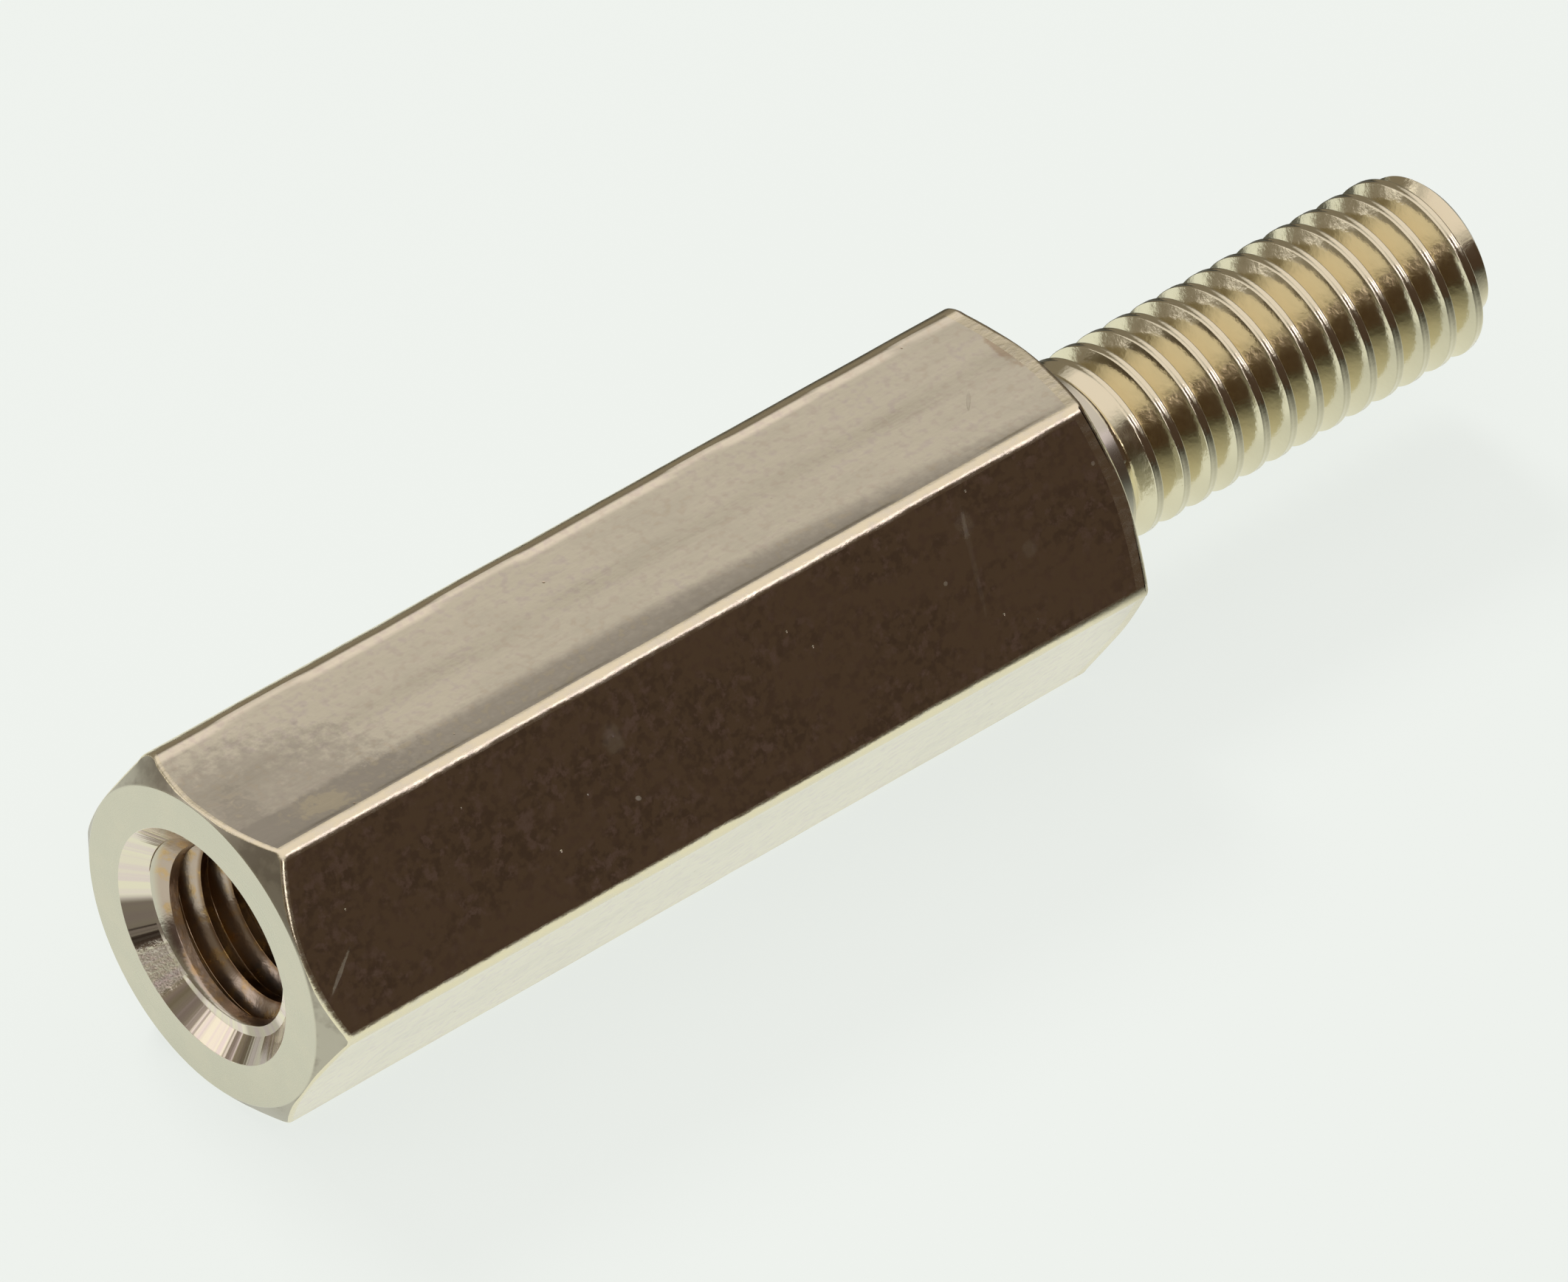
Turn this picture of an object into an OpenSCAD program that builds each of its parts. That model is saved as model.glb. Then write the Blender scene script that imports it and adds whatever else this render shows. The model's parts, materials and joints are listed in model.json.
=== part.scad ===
// Hex standoff with a tapped hole at one end and a threaded stud at the other.
// It is turned as one piece from drawn hexagon bar, and lies on one of its flats.
// The axis runs along X: the mouth of the hole faces -X and the stud points to +X.
// The origin is under the middle of the whole length. All sizes are millimetres.

/* [Hexagon bar] */
// Distance across the flats
across_flats = 5; // [4.5:0.1:8]
// Length of the hexagon, from the mouth face to the shoulder face
body_length = 15; // [12:0.5:40]
// How far the bar's corners are eased back from sharp
corner_ease = 0.03; // [0.01:0.01:0.1]

/* [Turned ends] */
// How far inside the flats the chamfers meet the two end faces
face_inset = 0.045; // [0.01:0.005:0.2]
// Angle of the mouth chamfer, measured from the end face
mouth_chamfer_angle = 37; // [15:1:60]
// Angle of the shoulder chamfer, measured from the end face
shoulder_chamfer_angle = 25; // [15:1:60]

/* [Tapped hole] */
// Diameter of the drilled wall, which the thread's crests keep
bore_d = 2.5; // [2:0.05:3.2]
// Depth of the straight wall below the mouth face
bore_depth = 9.5; // [5:0.5:10.5]
// Full angle of the drill's point at the bottom of the hole
drill_point_angle = 118; // [90:1:150]
// Diameter of the countersink on the mouth face
countersink_d = 3.64; // [3.4:0.02:4.2]
// Full angle of the countersink
countersink_angle = 90; // [60:5:120]

/* [Stud] */
// Diameter of the stud over the crests of its thread
stud_d = 2.85; // [2.4:0.05:3.6]
// Length of the stud, from the shoulder face to its tip
stud_length = 7.8; // [4:0.1:16]
// Length of the chamfer at the tip, along the stud
tip_chamfer = 0.42; // [0.1:0.02:0.8]
// Diameter of the flat that the tip chamfer leaves
tip_d = 2.1; // [1.2:0.05:2.3]

/* [Hidden] */
nickel_grey = [0.72, 0.69, 0.62];
round_fn = 96;
hexagon_sides = 6;

// Distances of the flats, the sharp corners and the eased corners from the axis
flat_r = across_flats / 2;
sharp_corner_r = flat_r / cos(180 / hexagon_sides);
corner_r = sharp_corner_r - corner_ease;

// Depths of the two chamfers at the eased corners
face_r = flat_r - face_inset;
mouth_chamfer = (corner_r - face_r) * tan(mouth_chamfer_angle);
shoulder_chamfer = (corner_r - face_r) * tan(shoulder_chamfer_angle);

// Depths of the two cones in the hole
bore_r = bore_d / 2;
countersink_r = countersink_d / 2;
countersink_depth = (countersink_r - bore_r) / tan(countersink_angle / 2);
point_depth = bore_r / tan(drill_point_angle / 2);

// The stud starts inside the body, so that the two are one solid
overall_length = body_length + stud_length;
stud_start = body_length - shoulder_chamfer;

// Hexagon bar with eased corners, turned to a chamfer at both ends
module body() {
    intersection() {
        cylinder(h = body_length, r = sharp_corner_r, $fn = hexagon_sides);
        rotate_extrude($fn = round_fn)
            polygon([
                [0, 0],
                [face_r, 0],
                [corner_r, mouth_chamfer],
                [corner_r, body_length - shoulder_chamfer],
                [face_r, body_length],
                [0, body_length]
            ]);
    }
}

// Stud at the diameter of its thread crests, with a chamfered tip
module stud() {
    rotate_extrude($fn = round_fn)
        polygon([
            [0, stud_start],
            [stud_d / 2, stud_start],
            [stud_d / 2, overall_length - tip_chamfer],
            [tip_d / 2, overall_length],
            [0, overall_length]
        ]);
}

// Countersunk blind hole with the cone of the drill's point at its bottom
module tapped_hole() {
    rotate_extrude($fn = round_fn)
        polygon([
            [0, 0],
            [countersink_r, 0],
            [bore_r, countersink_depth],
            [bore_r, bore_depth],
            [0, bore_depth + point_depth]
        ]);
}

// Modelled upright on its mouth face, then laid on one flat along X
module hex_standoff() {
    color(nickel_grey)
        translate([-overall_length / 2, 0, flat_r])
            rotate([90, 0, 90])
                difference() {
                    union() {
                        body();
                        stud();
                    }
                    tapped_hole();
                }
}

hex_standoff();
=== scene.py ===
# %% [markdown]
# # A nickel-plated hex standoff
#
# A standoff holds two panels apart. This one is turned in one piece from drawn hexagon bar: one end is
# drilled, countersunk and tapped, the other is turned down to a threaded stud, and the whole is plated with
# nickel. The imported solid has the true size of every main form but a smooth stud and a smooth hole, so this
# lesson skins the same form once more, with its threads, soft edges and marks of wear.

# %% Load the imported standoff
import json
import math

import bmesh
import bpy
import numpy as np
from mathutils import Matrix, Vector


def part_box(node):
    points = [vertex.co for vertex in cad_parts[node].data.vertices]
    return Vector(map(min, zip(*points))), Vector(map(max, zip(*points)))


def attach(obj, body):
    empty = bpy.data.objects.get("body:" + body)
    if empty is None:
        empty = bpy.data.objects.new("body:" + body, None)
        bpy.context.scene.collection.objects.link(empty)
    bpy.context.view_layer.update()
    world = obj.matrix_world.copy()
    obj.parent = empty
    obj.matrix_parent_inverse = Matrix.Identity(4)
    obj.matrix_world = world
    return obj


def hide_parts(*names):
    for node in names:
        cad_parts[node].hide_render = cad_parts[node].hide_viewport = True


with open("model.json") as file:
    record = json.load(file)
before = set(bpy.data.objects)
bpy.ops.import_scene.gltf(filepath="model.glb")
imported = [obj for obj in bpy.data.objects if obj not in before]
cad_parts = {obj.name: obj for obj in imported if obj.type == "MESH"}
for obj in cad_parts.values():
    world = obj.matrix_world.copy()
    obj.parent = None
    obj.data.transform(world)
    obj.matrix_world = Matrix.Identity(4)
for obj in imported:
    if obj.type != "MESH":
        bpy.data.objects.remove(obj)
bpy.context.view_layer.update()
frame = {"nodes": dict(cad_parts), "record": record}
print("packed nodes:", sorted(frame["nodes"]))

# %% [markdown]
# ## Sizes
#
# The lengths that matter to a user, such as the ends of the bar and the radii of the thread, are read from
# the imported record, so the skin can't drift away from the solid. The rest are the small turned details.
# Blender works in metres, so a size in millimetres is written with the factor MM.

# %% Read the main sizes
MM = 0.001
low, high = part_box("hex_standoff")
mounts = {mount["name"]: mount for mount in frame["record"]["mounts"]}
flat_r = (high.z - low.z) / 2
axis_z = (high.z + low.z) / 2
mouth_x = mounts["mouth_face"]["pos_m"][0]
shoulder_x = mounts["shoulder_face"]["pos_m"][0]
tip_x = high.x
bore_r = mounts["tapped_hole"]["dims"]["r_mm"] * MM
bore_wall = mounts["tapped_hole"]["dims"]["length_mm"] * MM
stud_r = mounts["stud"]["dims"]["r_mm"] * MM
face_inset = 0.045 * MM
face_r = flat_r - face_inset
print(f"bar {(shoulder_x - mouth_x) / MM:.1f} mm long, {2 * flat_r / MM:.1f} mm across its flats")

# %% [markdown]
# ## A skin of rows and columns
#
# Every part of this standoff but the hexagon is turned, so its skin can be one grid: columns stand round
# the axis, and rows follow the outline from the bottom of the hole, out over the mouth, along the bar and on
# to the tip of the stud. A primitive with modifiers could give the same form, but a grid keeps every face a
# clean quad and lets each row know which finish it needs. The columns crowd together at the six corners and
# along the low lips beside them, where the form changes fastest.

# %% Columns round the axis
SIDES = 6
SIDE_ANGLE = math.tau / SIDES
corner_round = 0.22 * MM
lip_columns = np.array([0.0, 0.04, 0.09, 0.15, 0.23, 0.34]) * MM
middle_columns = 9
corner_columns = 5

half_flat = math.atan((1 - corner_round / flat_r) * math.tan(SIDE_ANGLE / 2))
over_lip = np.arctan(math.tan(half_flat) - lip_columns / flat_r)
over_middle = np.linspace(-over_lip[-1], over_lip[-1], middle_columns + 2)[1:-1]
over_flat = np.concatenate([-over_lip, over_middle, over_lip[::-1]])
over_corner = np.linspace(half_flat, SIDE_ANGLE - half_flat, corner_columns + 2)[1:-1]
one_side = np.concatenate([over_flat, over_corner])
turn = np.concatenate([(side + 0.5) * SIDE_ANGLE + one_side for side in range(SIDES)])
part_of_turn = (turn - turn[0]) / math.tau
from_flat = turn % SIDE_ANGLE - SIDE_ANGLE / 2
nearest_corner = np.round(turn / SIDE_ANGLE).astype(int) % SIDES
print(len(turn), "columns")

# %% [markdown]
# An edge on real metal is never quite sharp. This helper takes the corners of an outline, as places along
# the axis and distances out from it, and rounds each inner corner by its own radius. A Bevel modifier would
# do the same for one width, but here every edge has its own, and on the hexagon every column has another
# angle.

# %% A helper that rounds the corners of an outline
EDGE_STEPS = 4


def unit(vectors):
    return vectors / np.linalg.norm(vectors, axis=0)


def rounded(points, radii, steps=EDGE_STEPS):
    """Rows along the outline: the given corners in order, each inner one rounded by its radius."""
    corners = [np.stack(np.broadcast_arrays(along, out, turn)[:2]) for along, out in points]
    rows = [corners[0]]
    for before, corner, after, radius in zip(corners, corners[1:], corners[2:], radii):
        back = unit(before - corner)
        ahead = unit(after - corner)
        half = np.arccos(np.clip((back * ahead).sum(axis=0), -1, 1)) / 2
        centre = corner + unit(back + ahead) * radius / np.sin(half)
        start = corner + back * radius / np.tan(half)
        end = corner + ahead * radius / np.tan(half)
        for share in np.linspace(0, 1, steps):
            rows.append(centre + radius * unit(start + (end - start) * share - centre))
    return rows + [corners[-1]]


# %% [markdown]
# ## The drawn bar
#
# Drawing hexagon bar through a die leaves its flats a trace hollow, with a low lip along each corner, and
# handling wears the corners unevenly. Those few hundredths of a millimetre are why a plated flat shows a
# dark band on one side and a light one on the other. The unevenness is a sum of a few waves with a fixed
# seed.

# %% Surface of the bar in every column
wear = np.random.default_rng(8)
WAVES = 6
shortest_wave = 1.2
longest_wave = 9.0
wave_length = wear.uniform(shortest_wave, longest_wave, (SIDES, WAVES)) * MM
wave_start = wear.uniform(0, math.tau, (SIDES, WAVES))
round_change = 0.10
lip_change = 0.22
rolled_corner = 1
rolled_round = 0.38 * MM
lip_height = 0.017 * MM
lip_width = 0.17 * MM

# Flats are counted round the axis from +Y up over the top, and each has its own share of the full lip
UPPER_FLAT = 1
FRONT_FLAT = 2
flat_number = (turn / SIDE_ANGLE).astype(int) % SIDES
lip_share = np.array([0.7, 1.0, 0.22, 0.5, 0.4, 0.6])[flat_number]
near_half = (flat_number == UPPER_FLAT) & (from_flat > 0)
lip_share[near_half] = 0.5

# Corner of the bar, distance from the mouth, half length and extra rounding of each knock
knocks = [
    (2, 2.6, 0.22, 0.05),
    (2, 3.8, 0.10, 0.07),
    (2, 5.8, 0.30, 0.05),
    (2, 9.7, 0.16, 0.04),
    (1, 4.4, 0.20, 0.04),
    (3, 6.9, 0.25, 0.05),
    (0, 11.2, 0.18, 0.06),
    (5, 3.1, 0.20, 0.05),
    (4, 8.3, 0.24, 0.05),
]


def wander(x):
    """A slow unevenness along the nearest corner, about -1 to 1, for every column."""
    phase = math.tau * x[:, None] / wave_length[nearest_corner] + wave_start[nearest_corner]
    return np.sin(phase).sum(axis=1) / math.sqrt(2 * WAVES)


def bar_surface(x):
    """Distance of the bar's skin from the axis at x, for every column."""
    x = np.broadcast_to(x, turn.shape)
    uneven = wander(x)
    round_r = np.where(nearest_corner == rolled_corner, rolled_round, corner_round)
    round_r = round_r * (1 + round_change * uneven)
    for corner, place, half_length, extra in knocks:
        near = np.exp(-(((x - mouth_x) / MM - place) / half_length) ** 2)
        round_r = round_r + extra * MM * near * (nearest_corner == corner)
    across = flat_r * np.tan(np.abs(from_flat))
    to_corner = flat_r * math.tan(SIDE_ANGLE / 2) - across
    lip = lip_height * lip_share * (1 + lip_change * uneven)
    hollow = lip * (1 - np.exp(-(to_corner / lip_width) ** 2))
    on_flat = (flat_r - hollow) / np.cos(from_flat)
    arc_centre = (flat_r - round_r) / math.cos(SIDE_ANGLE / 2)
    off_corner = SIDE_ANGLE / 2 - np.abs(from_flat)
    reach = np.maximum(round_r ** 2 - (arc_centre * np.sin(off_corner)) ** 2, 0)
    on_arc = arc_centre * np.cos(off_corner) + np.sqrt(reach)
    arc_begins = np.arctan((1 - round_r / flat_r) * math.tan(SIDE_ANGLE / 2))
    return np.where(np.abs(from_flat) > arc_begins, on_arc, on_flat)


at_middle = bar_surface((mouth_x + shoulder_x) / 2) / MM
print(f"bar skin from {at_middle.min():.3f} to {at_middle.max():.3f} mm out")

# %% [markdown]
# ## The thread
#
# Both ends carry the same coarse metric thread. One turn of it is a small outline of two flanks, with a flat
# at the crest and another at the root, and here the flanks lean a little to one side. A Screw modifier could
# sweep that outline, but then it would have to be cut into the bar. Instead the rows themselves climb by one
# pitch in each turn, so the last column of a row meets the first column of the row one pitch further on.

# %% Outline of one turn, and the climbing rows
pitch = 0.5 * MM
thread_depth = 0.27 * MM
THREAD_STEPS = 3


def one_turn(base_r, other_r, base_flat, other_flat, lean, base_round, other_round):
    """Places along one pitch and their distances from the axis, from one base to the next."""
    first = base_flat / 2
    flank = (pitch - base_flat - other_flat) / 2
    points = [
        (0.0, base_r),
        (first, base_r),
        (first + flank - lean, other_r),
        (pitch - first - flank - lean, other_r),
        (pitch - first, base_r),
        (pitch, base_r),
    ]
    rows = rounded(points, [base_round, other_round, other_round, base_round], THREAD_STEPS)
    return np.array([(along[0], out[0]) for along, out in rows])


def climbing_rows(start_x, end_x, base_x, outline, finish):
    """Rows of a right-hand thread with a base at base_x in the first column; finish runs its ends out."""
    places, outs = outline.T
    first_x = start_x + (base_x - start_x) % pitch - 2 * pitch
    rows = []
    for number in range(math.ceil((end_x - first_x) / pitch) + 1):
        for along in places[:-1]:
            x = np.clip(first_x + (number + part_of_turn) * pitch + along, start_x, end_x)
            out = np.interp((x - first_x - part_of_turn * pitch) % pitch, places, outs)
            rows.append(np.stack([x, finish(x, out)]))
    return rows


def ease(value):
    """Smooth step from 0 to 1."""
    value = np.clip(value, 0, 1)
    return value * value * (3 - 2 * value)


# %% [markdown]
# ## The tapped hole
#
# A drill leaves a straight wall and a cone at the bottom, a countersink opens the mouth, and the tap cuts a
# groove into the wall that fades out above the bottom. Where the countersink ends there is a narrow ledge,
# and the first crest behind it is cut back: of the thread and a shallow cone, the one farther from the axis
# is kept. A Boolean could cut all this too, but it would leave ragged faces.

# %% Places in the hole
sink_r = 1.82 * MM
drill_point_angle = math.radians(118)
untapped = 1.4 * MM
ledge = 0.012 * MM
groove_r = bore_r + thread_depth
wall_end_x = mouth_x + (sink_r - bore_r) + bore_wall
point_x = wall_end_x + bore_r / math.tan(drill_point_angle / 2)
tapped_end_x = wall_end_x - untapped
sink_end_x = mouth_x + (sink_r - groove_r)
tapped_start_x = sink_end_x + ledge
print(f"hole {(point_x - mouth_x) / MM:.1f} mm deep")

# %% Rows of the hole, from the bottom up
crest_flat = 0.128 * MM
crest_round = 0.02 * MM
groove_flat = 0.06 * MM
groove_round = 0.015 * MM
hole_lean = 0.055 * MM
run_out = 0.9 * MM
first_crest_r = bore_r + 0.13 * MM
first_crest_slope = 0.3
hole_outline = one_turn(bore_r, groove_r, crest_flat, groove_flat, hole_lean, crest_round, groove_round)
groove_end = (pitch + groove_flat) / 2 - hole_lean
hole_base_x = sink_end_x - groove_end


def tapped(x, out):
    """The tap's groove, faded out at the bottom, with its first crest cut back at the mouth."""
    cut = bore_r + (out - bore_r) * ease((tapped_end_x - x) / run_out)
    cut_back = first_crest_r - (x - tapped_start_x) * first_crest_slope
    return np.maximum(cut, cut_back)


drill_round = 0.08 * MM
thread_gap = 0.05 * MM
hole_bottom = rounded(
    [(point_x, 0.0), (wall_end_x, bore_r), (tapped_end_x + thread_gap, bore_r)],
    [drill_round],
)
hole_thread = climbing_rows(tapped_start_x, tapped_end_x, hole_base_x, hole_outline, tapped)[::-1]
print(len(hole_thread), "rows in the tapped hole")

# %% [markdown]
# ## The two turned ends
#
# A lathe tool faces both ends and chamfers the corners of the hexagon. A cone that cuts a hexagonal prism
# leaves a curve on each flat, and the grid gets it for nothing: in every column the chamfer ends where it
# meets the bar. The mouth has the deeper chamfer and the shoulder the flatter one.

# %% Where the chamfers meet the bar
mouth_chamfer_angle = math.radians(37)
shoulder_chamfer_angle = math.radians(25)
mouth_bar = bar_surface(mouth_x)
mouth_end_x = mouth_x + (mouth_bar - face_r) * math.tan(mouth_chamfer_angle)
shoulder_bar = bar_surface(shoulder_x)
shoulder_start_x = shoulder_x - (shoulder_bar - face_r) * math.tan(shoulder_chamfer_angle)

# The rims are most worn at the front flat, and no rounding is wider than its chamfer
chamfer_edge = np.where(flat_number == FRONT_FLAT, 0.12, 0.08) * MM
mouth_edge = np.minimum(chamfer_edge, mouth_bar - face_r)
shoulder_edge = np.minimum(chamfer_edge, shoulder_bar - face_r)
print(f"mouth chamfer up to {(mouth_end_x.max() - mouth_x) / MM:.2f} mm deep")

# %% Rows of the mouth
ledge_edge = 0.01 * MM
sink_edge = 0.02 * MM
face_edge = 0.03 * MM
run_in = 0.06 * MM
ledge_r = hole_thread[-1][1]
mouth = rounded(
    [
        (tapped_start_x, ledge_r),
        (sink_end_x, groove_r),
        (mouth_x, sink_r),
        (mouth_x, face_r),
        (mouth_end_x, mouth_bar),
        (mouth_end_x + run_in, mouth_bar),
    ],
    [ledge_edge, sink_edge, face_edge, mouth_edge],
)[1:]
countersink = mouth[:2 * EDGE_STEPS - 1]
mouth_face = mouth[2 * EDGE_STEPS - 1:-EDGE_STEPS]
mouth_rim = mouth[-EDGE_STEPS:]
print(len(mouth), "rows over the mouth")

# %% Rows of the bar and the shoulder
body_rows = 90
fade_rate = 12
neck_r = 1.39 * MM
neck_length = 0.80 * MM
neck_round = 0.06 * MM
bar = []
for share in np.linspace(0, 1, body_rows)[1:-1]:
    x = mouth_end_x + run_in + (shoulder_start_x - mouth_end_x - 2 * run_in) * share
    end_fade = ease(np.minimum(share, 1 - share) * fade_rate)
    plain = mouth_bar + (shoulder_bar - mouth_bar) * share
    bar.append(np.stack([x, plain + (bar_surface(x) - plain) * end_fade]))
shoulder = rounded(
    [
        (shoulder_start_x - run_in, shoulder_bar),
        (shoulder_start_x, shoulder_bar),
        (shoulder_x, face_r),
        (shoulder_x, neck_r),
        (shoulder_x + neck_length, neck_r),
    ],
    [shoulder_edge, face_edge, neck_round],
)
shoulder_rim = shoulder[:EDGE_STEPS + 1]
shoulder_face = shoulder[EDGE_STEPS + 1:]
print(len(bar) + len(shoulder), "rows over the bar and the shoulder")

# %% [markdown]
# ## The stud
#
# The stud's thread is rolled: two dies press it in, and the metal that they push up from both sides meets in
# a fine seam along the crest. The thread starts a little way off the shoulder, behind a plain neck, and runs
# out over the worn chamfer of the tip. Here the lesser of thread and chamfer is kept, as the lathe would.

# %% Outline of the rolled thread
rolled_depth = 0.311 * MM
root_flat = 0.05 * MM
root_round = 0.015 * MM
stud_crest_flat = 0.13 * MM
stud_crest_round = 0.020 * MM
stud_lean = -0.034 * MM
first_crest = 1.0255 * MM
root_r = stud_r - rolled_depth
stud_crest = pitch / 2 - stud_lean
stud_base_x = shoulder_x + first_crest - stud_crest
plain_turn = one_turn(root_r, stud_r, root_flat, stud_crest_flat, stud_lean, root_round, stud_crest_round)

seam_half = 0.025 * MM
seam_depth = 0.008 * MM
seam = [
    [stud_crest - seam_half, stud_r],
    [stud_crest, stud_r - seam_depth],
    [stud_crest + seam_half, stud_r],
]
stud_outline = np.array(sorted(plain_turn.tolist() + seam))
print(len(stud_outline), "points in one turn")

# %% Rows of the stud, from the neck to the tip
run_up = 0.35 * MM
tip_chamfer = 0.42 * MM
tip_softness = 1.35
tip_r = 1.05 * MM
tip_round = 0.12 * MM
tip_dome = 0.05 * MM
tip_gap = 0.02 * MM
dome_bend = 0.75
stud_start_x = shoulder_x + neck_length
stud_end_x = tip_x - tip_dome - tip_gap


def rolled(x, out):
    """The rolled thread, faded in after the neck and cut back by the chamfer of the tip."""
    thread = neck_r + (out - neck_r) * ease((x - stud_start_x) / run_up)
    past = np.clip(1 - (stud_end_x - x) / tip_chamfer, 0, 1)
    chamfer = tip_r + (stud_r - tip_r) * (1 - past ** tip_softness) ** (1 / tip_softness)
    return np.minimum(thread, chamfer)


stud = climbing_rows(stud_start_x, stud_end_x, stud_base_x, stud_outline, rolled)
tip_points = [(stud_end_x, tip_r), (tip_x - tip_dome / 2, tip_r * dome_bend), (tip_x, 0.0)]
tip = rounded(tip_points, [tip_round])[1:]
print(len(stud), "rows on the stud")

# %% [markdown]
# ## Joining the rows
#
# The rows become one closed mesh. Each stretch of rows names its finish, and the two threaded stretches say
# by how many rows they climb in a turn. Where a climbing row has reached the end of its stretch, its points
# lie on top of each other, so they are welded.

# %% List the stretches of rows
stretches = [
    ("tapped_hole", hole_bottom, 0),
    ("tapped_hole", hole_thread, 1 - len(hole_outline)),
    ("bright_countersink", countersink, 0),
    ("turned_ends", mouth_face, 0),
    ("worn_corners", mouth_rim, 0),
    ("drawn_flats", bar, 0),
    ("worn_corners", shoulder_rim, 0),
    ("turned_ends", shoulder_face, 0),
    ("rolled_stud", stud, len(stud_outline) - 1),
    ("rolled_stud", tip, 0),
]
finish_names = ["drawn_flats", "worn_corners", "turned_ends"]
finish_names += ["bright_countersink", "rolled_stud", "tapped_hole"]

rows = []
row_finish = []
row_partner = []
for finish_name, stretch, climb in stretches:
    first = len(rows)
    last = first + len(stretch) - 1
    rows += stretch
    row_finish += [finish_names.index(finish_name)] * len(stretch)
    row_partner += [min(max(first + number + climb, first), last) for number in range(len(stretch))]
print(len(rows), "rows in", len(stretches), "stretches")

# %% Skin the rows
just_inside = 0.999
grid = np.array(rows)
along, out = grid[:, 0], grid[:, 1]
points = np.stack([along, out * np.cos(turn), axis_z + out * np.sin(turn)], axis=-1)
columns = len(turn)
number = np.arange(len(rows) * columns).reshape(len(rows), columns)
beside = np.concatenate([number[:, 1:], number[np.array(row_partner), :1]], axis=1)
quads = np.stack([number[:-1], beside[:-1], beside[1:], number[1:]], axis=-1).reshape(-1, 4)
quad_finish = np.repeat(np.array(row_finish[1:])[:, None], columns, axis=1)
on_corner = np.abs(from_flat) > half_flat * just_inside
on_corner = on_corner & np.roll(on_corner, -1)
worn = on_corner & (quad_finish == finish_names.index("drawn_flats"))
quad_finish[worn] = finish_names.index("worn_corners")

skin = bpy.data.meshes.new("plated_standoff")
skin.from_pydata(points.reshape(-1, 3).tolist(), [], quads.tolist())
skin.polygons.foreach_set("material_index", quad_finish.ravel().astype(np.int32))
print(len(quads), "quads before welding")

# %% Weld the skin and turn its faces outward
weld_distance = 0.0001 * MM
work = bmesh.new()
work.from_mesh(skin)
bmesh.ops.remove_doubles(work, verts=work.verts, dist=weld_distance)
bmesh.ops.dissolve_degenerate(work, edges=work.edges, dist=weld_distance)
bmesh.ops.recalc_face_normals(work, faces=work.faces)
if work.calc_volume(signed=True) < 0:
    bmesh.ops.reverse_faces(work, faces=work.faces)
open_edges = sum(not edge.is_manifold for edge in work.edges)
volume = work.calc_volume(signed=True) / MM ** 3
work.to_mesh(skin)
work.free()
triangles = sum(len(face.vertices) - 2 for face in skin.polygons)
print(f"{triangles} triangles, {open_edges} open edges, {volume:.1f} mm3")

# %% [markdown]
# Smooth shading bends every flat toward the narrow faces that round its edges, and then a mirror shows a
# warped room. Large faces should win, so each point's normal is the sum of its faces' normals, weighted by
# their areas. The Weighted Normal modifier does the same, but it drops areas as tiny as these.

# %% Shade the skin by the larger faces
skin.shade_smooth()
face_normal = np.empty(len(skin.polygons) * 3)
face_area = np.empty(len(skin.polygons))
face_corners = np.empty(len(skin.polygons), dtype=np.int32)
corner_point = np.empty(len(skin.loops), dtype=np.int32)
skin.polygons.foreach_get("normal", face_normal)
skin.polygons.foreach_get("area", face_area)
skin.polygons.foreach_get("loop_total", face_corners)
skin.loops.foreach_get("vertex_index", corner_point)

pull = np.repeat(face_normal.reshape(-1, 3) * face_area[:, None], face_corners, axis=0)
point_normal = np.zeros((len(skin.vertices), 3))
np.add.at(point_normal, corner_point, pull)
skin.normals_split_custom_set_from_vertices(unit(point_normal.T).T.tolist())
standoff = bpy.data.objects.new("plated_standoff", skin)
bpy.context.scene.collection.objects.link(standoff)
print(f"largest face {face_area.max() / MM ** 2:.3f} mm2, smallest {face_area.min() / MM ** 2:.6f} mm2")

# %% [markdown]
# ## Shader sums as Python sums
#
# A material in Blender is a graph of nodes. Wiring sums by hand hides the idea, so a small class wraps a
# socket: adding or multiplying two of them adds the Math node. All other nodes come from its one method.

# %% A socket that can be added and multiplied


class Wire:
    """An output socket that takes part in Python sums."""

    def __init__(self, socket):
        self.socket = socket

    @staticmethod
    def node(tree, kind, settings=None, sockets=None, output=0):
        """Adds a node, sets it up, fills or links its sockets and returns one output."""
        made = tree.nodes.new(kind)
        for name, value in (settings or {}).items():
            setattr(made, name, value)
        for key, value in (sockets or {}).items():
            if isinstance(value, Wire):
                tree.links.new(value.socket, made.inputs[key])
            else:
                made.inputs[key].default_value = value
        return Wire(made.outputs[output]) if made.outputs else None

    def maths(self, operation, first, second):
        """Adds a Math node for two values."""
        settings = {"operation": operation}
        return Wire.node(self.socket.id_data, "ShaderNodeMath", settings, {0: first, 1: second})

    def __add__(self, other):
        return self.maths("ADD", self, other)

    def __radd__(self, other):
        return self.maths("ADD", other, self)

    def __sub__(self, other):
        return self.maths("SUBTRACT", self, other)

    def __rsub__(self, other):
        return self.maths("SUBTRACT", other, self)

    def __mul__(self, other):
        return self.maths("MULTIPLY", self, other)

    def __rmul__(self, other):
        return self.maths("MULTIPLY", other, self)

    def __truediv__(self, other):
        return self.maths("DIVIDE", self, other)

    def __rtruediv__(self, other):
        return self.maths("DIVIDE", other, self)

    def __pow__(self, other):
        return self.maths("POWER", self, other)


# %% Helpers that the finishes share
def place_in_mm(tree):
    """Where a point of the skin lies, in millimetres, so that patterns are set in real sizes."""
    place = Wire.node(tree, "ShaderNodeTexCoord", output="Object")
    return Wire.node(tree, "ShaderNodeVectorMath", {"operation": "SCALE"}, {0: place, "Scale": 1 / MM})


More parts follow.
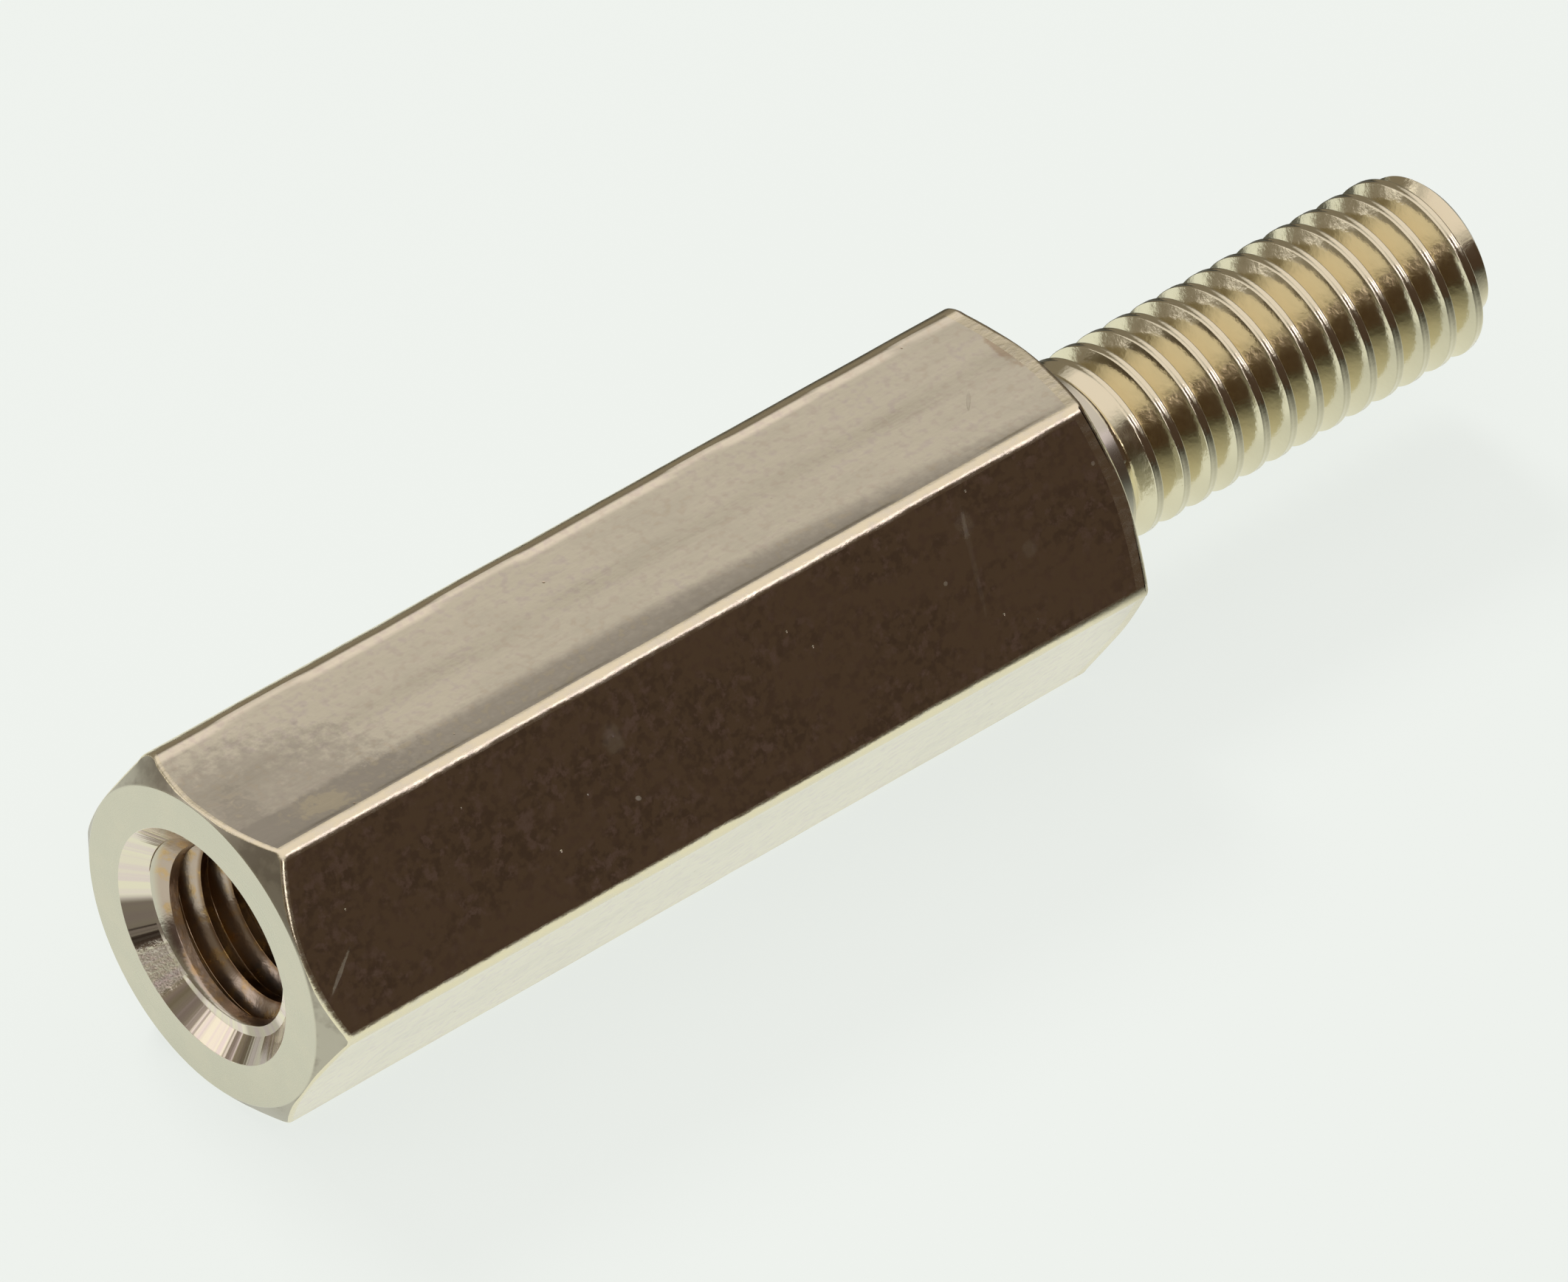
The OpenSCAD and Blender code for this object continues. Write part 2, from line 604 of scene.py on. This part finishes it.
def parts_of(tree, vector):
    """The three numbers of a vector."""
    split = Wire.node(tree, "ShaderNodeSeparateXYZ", None, {0: vector}).socket.node
    return [Wire(socket) for socket in split.outputs]


def stretched(tree, place, factors):
    """The place with each direction multiplied by its own factor."""
    return Wire.node(tree, "ShaderNodeVectorMath", {"operation": "MULTIPLY"}, {0: place, 1: factors})


def noise(tree, place, scale, detail=3.0, roughness=0.5):
    """Cloudy noise from 0 to 1, with that many clouds to a millimetre."""
    sockets = {"Vector": place, "Scale": scale, "Detail": detail, "Roughness": roughness}
    return Wire.node(tree, "ShaderNodeTexNoise", None, sockets)


def step(value, start, end):
    """Smooth step from 0 at start to 1 at end."""
    tree = value.socket.id_data
    settings = {"interpolation_type": "SMOOTHSTEP"}
    sockets = {"Value": value, "From Min": start, "From Max": end}
    return Wire.node(tree, "ShaderNodeMapRange", settings, sockets)


def tint(factor, first, second):
    """First colour where the factor is 0, second where it is 1."""
    tree = factor.socket.id_data
    settings = {"data_type": "RGBA"}
    return Wire.node(tree, "ShaderNodeMix", settings, {"Factor": factor, 6: first, 7: second}, output=2)


def new_finish(name):
    """An empty material for one finish, and its node tree."""
    material = bpy.data.materials.new(name)
    material.use_nodes = True
    material.node_tree.nodes.clear()
    return material, material.node_tree


def plated(material, colour, roughness, relief):
    """Closes a finish: metal of that colour and roughness, with a relief given in millimetres."""
    tree = material.node_tree
    bump = Wire.node(tree, "ShaderNodeBump", None, {"Height": relief, "Distance": MM})
    sockets = {"Base Color": colour, "Metallic": 1.0, "Roughness": roughness, "Normal": bump}
    shader = Wire.node(tree, "ShaderNodeBsdfPrincipled", None, sockets)
    Wire.node(tree, "ShaderNodeOutputMaterial", None, {"Surface": shader})
    print(f"{material.name}: {len(tree.nodes)} nodes")


# %% [markdown]
# A metal's colour is the tint of its mirror picture. Nickel is a warm grey. The same plate looks greyer
# where it is hazed, straw or rosy where the bath changed, and brown where heat touched it or the brass below
# shows. Two of the dark tints also carry painted shade: the dull one darkens parts of the upper flat, and the
# burnt one puts a painted dark reflection on the countersink. So the finishes share one small set of tints.

# %% Tints of the plating
nickel = (0.85, 0.785, 0.60, 1)
grey_nickel = (0.74, 0.685, 0.535, 1)
dull_and_shaded_nickel = (0.44, 0.40, 0.32, 1)
pale_nickel = (0.66, 0.63, 0.50, 1)
rosy_nickel = (0.80, 0.69, 0.62, 1)
cream_nickel = (0.87, 0.79, 0.56, 1)
straw_nickel = (0.80, 0.69, 0.40, 1)
bright_fleck = (0.98, 0.90, 0.84, 1)
brass = (0.78, 0.58, 0.28, 1)
tarnish = (0.42, 0.22, 0.08, 1)
burnt_and_shaded_nickel = (0.12, 0.085, 0.06, 1)

# %% [markdown]
# ## Places on a flat
#
# Some marks have their own place, such as the brown stain at the shoulder end. Like a label, each is set by
# how far it lies from the mouth and from the middle line of its flat. A UV map could hold such places too,
# but on plain flats two sums on the object coordinates give them without unwrapping anything.

# %% Places and marks on one flat
top_flat = math.radians(90)
front_flat = math.radians(150)
mask_start = flat_r / MM - 0.10
mask_full = flat_r / MM - 0.05
oval_inside = 0.3
oval_outside = 1.2


def flat_places(tree, place, angle):
    """Distance from the mouth, distance from the flat's middle line and a mask of that flat."""
    x, y, z = parts_of(tree, place)
    along = x - mouth_x / MM
    above_axis = z - axis_z / MM
    across = above_axis * math.cos(angle) - y * math.sin(angle)
    outward = above_axis * math.sin(angle) + y * math.cos(angle)
    return along, across, step(outward, mask_start, mask_full)


def mark(where, middle, half, lean=0.0, ragged=0.0):
    """A soft-edged oval on one flat: 1 inside and 0 outside, in millimetres."""
    along, across, on_flat = where
    from_middle = along - middle[0]
    from_line = across - middle[1]
    length = (from_middle * math.cos(lean) + from_line * math.sin(lean)) / half[0]
    width = (from_line * math.cos(lean) - from_middle * math.sin(lean)) / half[1]
    return (1 - step(length * length + width * width + ragged, oval_inside, oval_outside)) * on_flat


# %% [markdown]
# ## Finish of the drawn flats
#
# Bright nickel over drawn bar keeps the fine lines of the die along its length, soft clouds where the bath
# left it duller, and specks and pits. Most of it is noise in object coordinates: stretching a noise along
# the axis gives drawn lines, and a threshold on a cell pattern gives specks. A Color Ramp could shape each
# noise as well, but a smooth step between two values says the same in one line.

# %% Patterns on the drawn flats
drawn_flats, tree = new_finish("drawn_flats")
place = place_in_mm(tree)
on_top = flat_places(tree, place, top_flat)
on_front = flat_places(tree, place, front_flat)
lines = noise(tree, stretched(tree, place, (0.12, 1.0, 1.0)), scale=20.0, detail=2.0)
streaks = noise(tree, stretched(tree, place, (0.10, 1.0, 1.0)), scale=4.0)
clouds = noise(tree, stretched(tree, place, (0.5, 1.0, 1.0)), scale=1.3, detail=4.0, roughness=0.6)
haze = noise(tree, place, scale=5.0, detail=5.0, roughness=0.65)
mottle = noise(tree, place, scale=7.0, detail=2.0)
ragged = (haze - 0.5) * 2.4
dappled = (mottle - 0.5) * 4.0

cells = {"Vector": place, "Scale": 2.6}
speck_gap = Wire.node(tree, "ShaderNodeTexVoronoi", None, cells, output="Distance")
speck_chance = parts_of(tree, Wire.node(tree, "ShaderNodeTexVoronoi", None, cells, output="Color"))[0]
speck = (1 - step(speck_gap, 0.02, 0.06)) * step(speck_chance, 0.62, 0.66)
print(len(tree.nodes), "nodes in the patterns")

# %% [markdown]
# Two of the flats carry marks of their own. The upper one is painted darker at the mouth and along its near
# edge, as painted shade of its reflection, with patches and a stain at its ends. The front one has a scratch,
# a streak and dust. Each is one soft oval, and a noise added to it makes its outline ragged.

# %% Marks on the upper flat
# painted shade: the mouth end and a band along the near edge are darkened in colour where the reflection is
# darker
painted_mouth_shade = mark(on_top, middle=(0.4, 0.6), half=(2.6, 1.6), ragged=ragged) * 0.56
painted_edge_shade = mark(on_top, middle=(4.6, 1.26), half=(10.5, 0.58), lean=0.01, ragged=ragged * 0.25) * 0.90
grey_patches = mark(on_top, middle=(0.36, 0.64), half=(0.34, 0.75), lean=0.3, ragged=dappled)
grey_patches = grey_patches + mark(on_top, middle=(0.85, 1.07), half=(0.50, 0.30), lean=0.2, ragged=dappled)
stain = mark(on_top, middle=(14.80, -0.30), half=(0.16, 0.55), lean=0.15, ragged=ragged)
dark_spot = mark(on_top, middle=(14.76, 1.01), half=(0.08, 0.10), ragged=ragged)
torn_outline = dappled + ragged * 0.5
straw_patch = mark(on_top, middle=(1.42, 1.00), half=(0.45, 0.24), lean=0.2, ragged=torn_outline)
pock = mark(on_top, middle=(13.68, 0.30), half=(0.03, 0.24), lean=0.72)
print(len(tree.nodes), "nodes with the marks on the upper flat")

# %% Marks on the front flat
front_streak = mark(on_front, middle=(12.27, -0.28), half=(0.05, 0.95), lean=0.13, ragged=ragged)
front_scratch = mark(on_front, middle=(0.50, 0.49), half=(0.40, 0.035), lean=2.40, ragged=ragged)
front_specks = mark(on_front, middle=(14.64, -0.62), half=(0.04, 0.04))
front_specks = front_specks + mark(on_front, middle=(11.72, -0.14), half=(0.04, 0.04))
front_specks = front_specks + mark(on_front, middle=(5.90, 0.39), half=(0.06, 0.04), lean=0.6)
front_haze = mark(on_front, middle=(13.2, 0.02), half=(0.15, 0.15), ragged=ragged)
front_haze = front_haze + mark(on_front, middle=(12.33, -0.77), half=(0.18, 0.20), ragged=ragged)
front_haze = front_haze + mark(on_front, middle=(5.84, -0.55), half=(0.20, 0.25), ragged=ragged)
dust = front_specks + speck * on_front[2]
print(len(tree.nodes), "nodes with the marks on both flats")

# %% [markdown]
# Patterns and marks now meet in three sockets of the metal: its colour, its roughness and its normal. Haze
# on plated metal is mostly roughness, not paint, so it shows only where there is something to reflect.

# %% Colour, roughness and relief of the drawn flats
colour = tint(step(mottle, 0.45, 0.70) * 0.5, nickel, rosy_nickel)
colour = tint(step(clouds, 0.40, 0.72) * 0.6 + (haze - 0.5) * 0.5, colour, grey_nickel)
# the dull places mix real haze, spots and pocks with the painted shade at the mouth and along the near edge
dull_places_and_painted_shade = painted_mouth_shade + painted_edge_shade + grey_patches * 0.25 + dark_spot * 0.5 + pock * 0.25
dull_places_and_painted_shade = dull_places_and_painted_shade + (mottle - 0.5) * 0.5
colour = tint(dull_places_and_painted_shade, colour, dull_and_shaded_nickel)
straw_spots = on_top[2] * step(mottle, 0.50, 0.68) * step(clouds, 0.36, 0.60)
colour = tint(straw_patch * 0.30 + straw_spots * 0.22, colour, straw_nickel)
colour = tint(stain * 0.42 + speck * 0.4, colour, tarnish)
patchy = on_front[2] * step(clouds, 0.36, 0.60)
colour = tint(patchy * step(mottle, 0.42, 0.60) * 0.45, colour, dull_and_shaded_nickel)
colour = tint(patchy * step(haze, 0.50, 0.64) * 0.95, colour, bright_fleck)
dullness = step(haze, 0.52, 0.74) * 0.05 + front_haze * 0.12 + front_streak * 0.10
roughness = 0.125 + (lines - 0.5) * 0.04 + dullness + dust * 0.25 + front_scratch * 0.20
relief = (lines - 0.5) * 0.0005 + (streaks - 0.5) * 0.0015 + (haze - 0.5) * 0.0012
relief = relief - speck * 0.004 - pock * 0.002 - front_scratch * 0.001
plated(drawn_flats, colour, roughness, relief)

# %% [markdown]
# The corners rub against other parts in a bag or a bin, so they are satin rather than bright, and a little
# ragged. Satin metal spreads a reflection, which turns the sharp glint on each corner into a soft pale line.

# %% Worn corners
worn_corners, tree = new_finish("worn_corners")
place = place_in_mm(tree)
rub = noise(tree, stretched(tree, place, (0.5, 1.0, 1.0)), scale=9.0, detail=4.0, roughness=0.6)
colour = tint(step(rub, 0.40, 0.70), cream_nickel, nickel)
roughness = 0.25 + (rub - 0.5) * 0.30
relief = (rub - 0.5) * 0.006
plated(worn_corners, colour, roughness, relief)

# %% [markdown]
# ## Finish of the turned ends
#
# A facing tool leaves rings round the axis, so the pattern depends only on the distance from it. The rings
# scatter light, so these faces are duller than the flats and show only a soft picture of the room.

# %% Turned ends


def distance_from_axis(tree, place):
    """How far a point lies from the axis, in millimetres."""
    y, z = parts_of(tree, place)[1:]
    above_axis = z - axis_z / MM
    return (y * y + above_axis * above_axis) ** 0.5


turned_ends, tree = new_finish("turned_ends")
place = place_in_mm(tree)
from_axis = distance_from_axis(tree, place)
chamfer_blend = 0.03
chamfer = step(from_axis, face_r / MM, face_r / MM + chamfer_blend)
rings = Wire.node(tree, "ShaderNodeTexNoise", {"noise_dimensions": "1D"}, {"W": from_axis, "Scale": 18.0})
haze = noise(tree, place, scale=2.0, detail=4.0, roughness=0.6)
colour = tint(step(haze, 0.4, 0.75) * 0.4, pale_nickel, grey_nickel)
colour = tint(chamfer * 0.70, colour, dull_and_shaded_nickel)
colour = tint(chamfer * step(haze, 0.44, 0.62) * 0.35, colour, burnt_and_shaded_nickel)
roughness = 0.27 + chamfer * 0.08 + (rings - 0.5) * 0.06 + step(haze, 0.5, 0.8) * 0.05
relief = (rings - 0.5) * 0.001 + (haze - 0.5) * 0.001
plated(turned_ends, colour, roughness, relief)

# %% [markdown]
# The countersink is a drill with many edges, and it chatters: fine streaks run down its cone from the mouth.
# They depend only on the angle round the axis, so the same one-number noise is asked with that angle. Three
# ranges of that angle are painted darker, the strongest of them as a painted dark reflection, and on one side
# the tool tore a rough patch. Each is a range of that angle.

# %% Bright countersink


def arc(angle, start, end, soft=3):
    """1 between two angles round the axis and 0 outside, in degrees, with soft ends."""
    begun = step(angle, math.radians(start - soft), math.radians(start + soft))
    ended = step(angle, math.radians(end - soft), math.radians(end + soft))
    return begun * (1 - ended)


bright_countersink, tree = new_finish("bright_countersink")
place = place_in_mm(tree)
y, z = parts_of(tree, place)[1:]
above_axis = z - axis_z / MM
angle = above_axis.maths("ARCTAN2", above_axis, y)
turn_of_noise = {"W": angle, "Scale": 10.0, "Detail": 2.0}
chatter = Wire.node(tree, "ShaderNodeTexNoise", {"noise_dimensions": "1D"}, turn_of_noise)
colour = tint(step(chatter, 0.35, 0.65), nickel, rosy_nickel)
torn = arc(angle, -58, -36)
# painted dark reflection: the cone is darkened in colour between -34 and -10 degrees, and more faintly in two
# other ranges
dark_ranges_and_painted_reflection = arc(angle, -34, -10) * 0.9 + arc(angle, -76, -62) * 0.35 + arc(angle, -150, -113) * 0.5
colour = tint(dark_ranges_and_painted_reflection + torn * 0.28, colour, burnt_and_shaded_nickel)
grain = noise(tree, place, scale=11.0, roughness=0.6)
roughness = 0.16 + (chatter - 0.5) * 0.12 + torn * 0.16
relief = (chatter - 0.5) * 0.007 + torn * (grain - 0.5) * 0.05
plated(bright_countersink, colour, roughness, relief)

# %% [markdown]
# ## Finish of the stud and of the hole
#
# Plating is thin on a thread, so the brass under it warms the flanks and the roots. Inside the hole the bath
# hardly reached, and the metal is browner. The crests in the hole are painted dark, as painted shade of the
# dark wall that they mirror. The distance from the axis tells crest from root.

# %% Rolled stud
warm_nickel = (0.83, 0.77, 0.56, 1)
rolled_stud, tree = new_finish("rolled_stud")
place = place_in_mm(tree)
from_axis = distance_from_axis(tree, place)
root = 1 - step(from_axis, root_r / MM, stud_r / MM)
grain = noise(tree, place, scale=7.0, detail=4.0, roughness=0.6)
colour = tint(root * 0.12, warm_nickel, brass)
roughness = 0.15 + (grain - 0.5) * 0.14
relief = (grain - 0.5) * 0.005
plated(rolled_stud, colour, roughness, relief)

# %% Tapped hole
first_plate = (0.62, 0.58, 0.47, 1)
thin_plate = (0.53, 0.43, 0.34, 1)
painted_crest_shade = (0.30, 0.20, 0.12, 1)
bare_bore = (0.66, 0.42, 0.14, 1)
tapped_hole, tree = new_finish("tapped_hole")
place = place_in_mm(tree)
from_axis = distance_from_axis(tree, place)
grain = noise(tree, place, scale=4.0, detail=4.0, roughness=0.6)
depth = parts_of(tree, place)[0] - mouth_x / MM
flank = step(from_axis, bore_r / MM + 0.01, bore_r / MM + 0.06)
groove = step(from_axis, groove_r / MM - 0.12, groove_r / MM)
# painted shade: the crests of the hole's thread take the dark colour, and the flanks the plated one
colour = tint(flank, painted_crest_shade, thin_plate)
colour = tint(groove * 0.3 + step(grain, 0.48, 0.66) * 0.6, colour, bare_bore)
colour = tint((1 - step(depth, 0.32, 0.42)) * flank, colour, first_plate)
roughness = 0.24 + (grain - 0.5) * 0.20
relief = (grain - 0.5) * 0.008
plated(tapped_hole, colour, roughness, relief)

# %% Put the finishes on, and stand in for the solid
for finish_name in finish_names:
    skin.materials.append(bpy.data.materials[finish_name])
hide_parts("hex_standoff")
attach(standoff, "root")
print("finishes:", [material.name for material in skin.materials])

# %% [markdown]
# ## Table, room and lamps
#
# Polished metal is a picture of its surroundings, so they matter as much as the finish. The standoff lies on
# a pale table. Its shader mixes the lit colour with a plain glow for the rays that look at it, which keeps
# it even but leaves the standoff its shadow. A lit sheet of paper grows dim toward its edges, most of all on
# the far side, and the stud shows that as a soft shade along its rim and its underside. So beside the stud
# the glow that mirror rays see fades with the distance from the axis.

# %% Table top
table_r = 0.055
table_drop = 0.01 * MM
table_steps = 96
around = np.linspace(0, math.tau, table_steps, endpoint=False)
ring = np.stack([np.cos(around), np.sin(around), np.zeros(table_steps)], axis=-1)
edge = ring * table_r - (0, 0, table_drop)
table_mesh = bpy.data.meshes.new("table")
table_mesh.from_pydata(edge.tolist(), [], [list(range(table_steps))])
table = bpy.data.objects.new("table", table_mesh)
bpy.context.scene.collection.objects.link(table)
print(f"table {2 * table_r / MM:.0f} mm across")

# %% Finish of the table
table_colour = (0.862, 0.900, 0.862, 1)
dim_table = (0.03, 0.027, 0.020, 1)
glow_share = 0.85
pool_half = 4.2
pool_power = 1.7
pool_start = 2.0
far_side_loss = 0.55

pale_table, tree = new_finish("pale_table")
rays = Wire.node(tree, "ShaderNodeLightPath").socket.node.outputs
seen = Wire(rays["Is Camera Ray"]) + Wire(rays["Is Glossy Ray"]) + Wire(rays["Is Transmission Ray"])
lit = Wire.node(tree, "ShaderNodeBsdfDiffuse", None, {"Color": table_colour})
table_x, table_y = parts_of(tree, place_in_mm(tree))[:2]
off_axis = table_y.maths("ABSOLUTE", table_y, 0.0)
pool = 1 / (1 + (off_axis / pool_half) ** pool_power)
far_side = step(table_y, 0.0, pool_half) * far_side_loss
by_stud = step(table_x, shoulder_x / MM, shoulder_x / MM + pool_start)
shade = Wire(rays["Is Glossy Ray"]) * by_stud * (1 - pool * (1 - far_side))
glow = Wire.node(tree, "ShaderNodeEmission", None, {"Color": tint(shade, table_colour, dim_table)})
share = step(seen, 0.0, 1.0) * (glow_share + shade * (1 - glow_share))
mixed = Wire.node(tree, "ShaderNodeMixShader", None, {0: share, 1: lit, 2: glow})
Wire.node(tree, "ShaderNodeOutputMaterial", None, {"Surface": mixed})
table_mesh.materials.append(pale_table)
print(f"pale_table: {len(tree.nodes)} nodes")

# %% [markdown]
# The room is dim and brown with a lit ceiling: low reflections are dark, high ones are warm. A soft window
# makes the light patch in the countersink, a small one at the side makes the sparks on edges and crests, and
# a dark cupboard parts the light on the stud. An image of a room could surround the scene as well, but a few
# steps on the height of a direction and a few soft discs are easier to move about. The camera itself sees a
# backdrop of the table's colour instead, so that a low view stays plain.

# %% Colours and places in the room
front_wall = (0.065, 0.042, 0.030, 1)
back_wall = (0.22, 0.19, 0.15, 1)
ceiling_edge = (0.56, 0.53, 0.52, 1)
ceiling = (0.89, 0.82, 0.82, 1)
window_white = (1.10, 1.05, 1.05, 1)
side_window_white = (3.4, 3.2, 3.3, 1)
cupboard_brown = (0.10, 0.075, 0.055, 1)

# Side of the room that the front wall takes, and where the back wall turns into it
front_side = math.radians(-61)
front_edges = (-0.35, 0.10)

# Heights above the table, in degrees
wall_top = 32
ceiling_start = 39
ceiling_full = 54

# Side and height of each disc, and its inner and outer half width, in degrees
window_place = (136, 26)
window_half = (14, 19)
side_window_place = (-117, 27)
side_window_half = (5, 9)
cupboard_place = (-36, 33)
cupboard_half = (6, 11)
print("ceiling from", ceiling_start, "degrees up")

# %% Paint the room
room = bpy.data.worlds.new("room")
bpy.context.scene.world = room
room.use_nodes = True
tree = room.node_tree
tree.nodes.clear()
direction = Wire.node(tree, "ShaderNodeTexCoord", output="Generated")
east, north, height = parts_of(tree, direction)


def height_at(degrees):
    """Height of a direction at that angle above the table."""
    return math.sin(math.radians(degrees))


def disc(place, half):
    """A soft disc in the room: 1 inside its inner half width and 0 outside its outer one."""
    side, above = [math.radians(angle) for angle in place]
    inside, outside = [math.cos(math.radians(angle)) for angle in half]
    level = (east * math.cos(side) + north * math.sin(side)) * math.cos(above)
    return step(level + height * math.sin(above), outside, inside)


toward_front = east * math.cos(front_side) + north * math.sin(front_side)
wall = tint(step(toward_front, *front_edges), back_wall, front_wall)
wall = tint(disc(window_place, window_half), wall, window_white)
lower = tint(step(height, height_at(wall_top), height_at(ceiling_start)), wall, ceiling_edge)
wall_to_ceiling = tint(step(height, height_at(ceiling_start), height_at(ceiling_full)), lower, ceiling)
furnished = tint(disc(cupboard_place, cupboard_half), wall_to_ceiling, cupboard_brown)
furnished = tint(disc(side_window_place, side_window_half), furnished, side_window_white)
seen = Wire(Wire.node(tree, "ShaderNodeLightPath").socket.node.outputs["Is Camera Ray"])
shine = Wire.node(tree, "ShaderNodeBackground", None, {"Color": tint(seen, furnished, table_colour)})
Wire.node(tree, "ShaderNodeOutputWorld", None, {"Surface": shine})
print(f"room: {len(tree.nodes)} nodes")

# %% [markdown]
# Two round area lamps do the rest. The desk lamp is in the picture that the metal shows. The other stands
# behind the standoff and casts the faint shadow on the table, and it is hidden from mirror rays.

# %% Lamps


def soft_lamp(name, direction, distance, size, radiance, colour):
    """A round area lamp of that radiance, aimed at the middle of the standoff."""
    light = bpy.data.lights.new(name, "AREA")
    light.shape = "DISK"
    light.size = size
    light.color = colour
    light.energy = radiance * math.pi * math.pi * (size / 2) ** 2
    lamp = bpy.data.objects.new(name, light)
    lamp.location = Vector(direction).normalized() * distance
    lamp.rotation_euler = Vector(direction).to_track_quat("Z", "Y").to_euler()
    bpy.context.scene.collection.objects.link(lamp)
    return lamp


lamp_distance = 0.5
desk_lamp = soft_lamp(
    "desk_lamp",
    direction=(0.48, -0.57, 0.67),
    distance=lamp_distance,
    size=0.123,
    radiance=1.8,
    colour=(0.90, 0.80, 1.0),
)
shadow_lamp = soft_lamp(
    "shadow_lamp",
    direction=(0.10, 0.68, 0.73),
    distance=lamp_distance,
    size=0.16,
    radiance=18.0,
    colour=(1.0, 1.0, 1.0),
)
shadow_lamp.visible_glossy = False
print(f"lamps of {desk_lamp.data.energy:.2f} and {shadow_lamp.data.energy:.2f} watts")

# %% [markdown]
# ## Camera
#
# The photograph looks down on the mouth and the front flats, with a long lens from close by. The camera
# looks at a point near the axis from that side, and a trace of roll levels it as the photograph is.

# %% Camera
image_width = 2124
sensor_width = 36.0
focal_pixels = 33874
camera_distance = 350 * MM
nearest_seen = 10 * MM
camera_side = math.radians(40.034)
camera_height = math.radians(40.956)
camera_roll = math.radians(0.480)
target = Vector((-0.872, 0.0, 2.113)) * MM

forward = Vector((
    math.sin(camera_side) * math.cos(camera_height),
    math.cos(camera_side) * math.cos(camera_height),
    -math.sin(camera_height),
))
level = forward.cross(Vector((0, 0, 1))).normalized()
down = forward.cross(level)
image_right = math.cos(camera_roll) * level + math.sin(camera_roll) * down
image_up = math.sin(camera_roll) * level - math.cos(camera_roll) * down

lens = bpy.data.cameras.new("camera")
lens.sensor_fit = "HORIZONTAL"
lens.sensor_width = sensor_width
lens.lens = focal_pixels / image_width * sensor_width
lens.clip_start = nearest_seen
camera = bpy.data.objects.new("camera", lens)
axes = Matrix((image_right, image_up, -forward)).transposed()
camera.matrix_world = Matrix.Translation(target - forward * camera_distance) @ axes.to_4x4()
bpy.context.scene.collection.objects.link(camera)
bpy.context.scene.camera = camera
bpy.context.scene.view_settings.view_transform = "Standard"
print(f"lens {lens.lens:.1f} mm, camera {camera_distance / MM:.0f} mm away")
